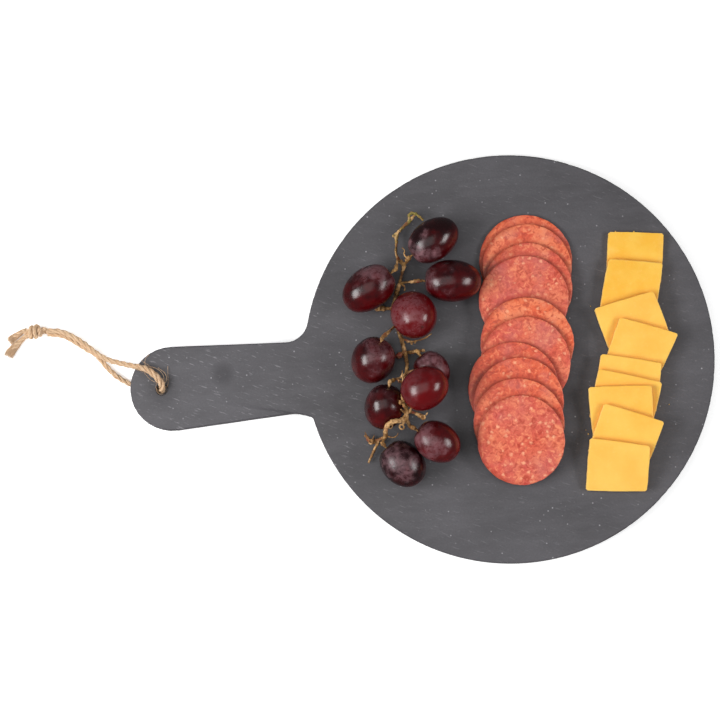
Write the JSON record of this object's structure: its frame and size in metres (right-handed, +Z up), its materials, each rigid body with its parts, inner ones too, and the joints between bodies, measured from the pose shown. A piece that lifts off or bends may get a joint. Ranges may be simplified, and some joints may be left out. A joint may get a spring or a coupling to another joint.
{
  "type": "charcuterie board",
  "caption": "Round slate board with a handle and a jute hanging loop, laid with red grapes on their stem, overlapping salami slices and overlapping cheddar slices.",
  "frame": {"origin": "centre of the bottom of the box round the board, its feet and the food, without the twine", "axes": "+Z up, the board's handle points along -X, the disc lies to +X"},
  "size_m": [0.396, 0.2286, 0.0507],
  "materials": {
    "slate": "matte",
    "foot_rubber": "matte",
    "grape": "glossy skin with a waxy bloom",
    "grape_stem": "matte",
    "salami": "slightly greasy",
    "cheddar": "satin",
    "jute": "matte, fibrous"
  },
  "bodies": {
    "root": {"slate_board": "slate", "foot_1": "foot_rubber", "foot_2": "foot_rubber", "foot_3": "foot_rubber", "foot_4": "foot_rubber", "grape_01": "grape", "grape_02": "grape", "grape_03": "grape", "grape_04": "grape", "grape_05": "grape", "grape_06": "grape", "grape_07": "grape", "grape_08": "grape", "grape_09": "grape", "grape_10": "grape", "grape_stem": "grape_stem", "salami_01": "salami", "salami_02": "salami", "salami_03": "salami", "salami_04": "salami", "salami_05": "salami", "salami_06": "salami", "salami_07": "salami", "salami_08": "salami", "salami_09": "salami", "salami_10": "salami", "cheese_01": "cheddar", "cheese_02": "cheddar", "cheese_03": "cheddar", "cheese_04": "cheddar", "cheese_05": "cheddar", "cheese_06": "cheddar", "cheese_07": "cheddar", "cheese_08": "cheddar", "cheese_09": "cheddar", "twine_over": "jute", "twine_under": "jute", "twine_knot": "jute", "twine_end_long": "jute", "twine_end_short": "jute"}
  },
  "joints": []
}
